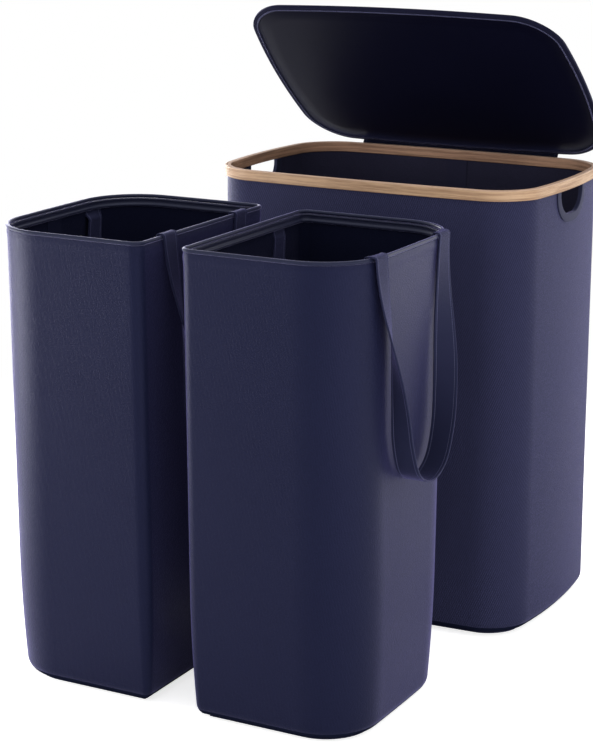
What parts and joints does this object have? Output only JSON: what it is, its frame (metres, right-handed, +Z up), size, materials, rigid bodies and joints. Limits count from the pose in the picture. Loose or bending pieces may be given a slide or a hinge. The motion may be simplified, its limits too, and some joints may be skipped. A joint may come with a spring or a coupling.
{
  "type": "laundry hamper with lift-out bins",
  "caption": "Tall rounded laundry hamper in dark stiff sheet with a bent-wood rim, hand holes and a hinged lid, and tall lift-out bins with carry straps standing in front.",
  "frame": {"origin": "middle of the hamper's underside, on the floor", "axes": "+Z up, +X to the hamper's right, -Y to its front, where the bins stand and away from the lid's hinge"},
  "size_m": [0.5723, 0.788, 0.8656],
  "materials": {
    "sheet": "fine-grained satin",
    "inner_sheet": "matt",
    "webbing": "close woven",
    "wood": "oiled",
    "lining": "matt",
    "trim": "satin",
    "board": "covered with dark paper"
  },
  "bodies": {
    "hamper": {"hamper_wall": "sheet", "wall_seam_tape": "inner_sheet", "hamper_base": "sheet", "hamper_base_board": "board", "rim_band_outer": "wood", "rim_band_inner": "wood", "handhole_trim_left": "trim", "handhole_trim_right": "trim", "hinge_leaf_body": "inner_sheet"},
    "lid": {"lid_board": "board", "lid_cover": "sheet", "lid_lining": "lining", "lid_piping": "webbing", "hinge_leaf_lid": "inner_sheet"},
    "bin_a": {"bin_a_wall": "sheet", "bin_a_base": "sheet", "bin_a_base_board": "board", "bin_a_seam_tape": "inner_sheet", "bin_a_rim_bead": "sheet", "bin_a_inner_hem": "inner_sheet", "bin_a_outer_root_front": "webbing", "bin_a_outer_root_back": "webbing", "bin_a_inner_root_front": "webbing", "bin_a_inner_root_back": "webbing"},
    "bin_a_outer_loop": {"bin_a_outer_strap": "webbing"},
    "bin_a_inner_loop": {"bin_a_inner_strap": "webbing"},
    "bin_b": {"bin_b_wall": "sheet", "bin_b_base": "sheet", "bin_b_base_board": "board", "bin_b_seam_tape": "inner_sheet", "bin_b_rim_bead": "sheet", "bin_b_inner_hem": "inner_sheet", "bin_b_outer_root_front": "webbing", "bin_b_outer_root_back": "webbing", "bin_b_inner_root_front": "webbing", "bin_b_inner_root_back": "webbing"},
    "bin_b_outer_loop": {"bin_b_outer_strap": "webbing"},
    "bin_b_inner_loop": {"bin_b_inner_strap": "webbing"}
  },
  "joints": [
    {"name": "lid_hinge", "type": "hinge", "parent": "hamper", "child": "lid", "pos_m": [0, 0.1714, 0.635], "axis": [-1, 0, 0], "range_deg": [-42, 68]},
    {"name": "bin_a_lift", "type": "slide", "parent": "hamper", "child": "bin_a", "axis": [0, 0, 1], "range_m": [0, 0.7]},
    {"name": "bin_b_lift", "type": "slide", "parent": "hamper", "child": "bin_b", "axis": [0, 0, 1], "range_m": [0, 0.7]},
    {"name": "bin_a_outer_strap_swing", "type": "hinge", "parent": "bin_a", "child": "bin_a_outer_loop", "pos_m": [-0.0812, -0.444, 0.6143], "axis": [0, -1, 0], "range_deg": [0, 4]},
    {"name": "bin_a_inner_strap_swing", "type": "hinge", "parent": "bin_a", "child": "bin_a_inner_loop", "pos_m": [-0.31165, -0.444, 0.585], "axis": [0, -1, 0], "range_deg": [0, 40]},
    {"name": "bin_b_outer_strap_swing", "type": "hinge", "parent": "bin_b", "child": "bin_b_outer_loop", "pos_m": [0.21586, -0.45, 0.6143], "axis": [0, -1, 0], "range_deg": [0, 190]},
    {"name": "bin_b_inner_strap_swing", "type": "hinge", "parent": "bin_b", "child": "bin_b_inner_loop", "pos_m": [-0.02, -0.45, 0.585], "axis": [0, -1, 0], "range_deg": [0, 40]}
  ]
}
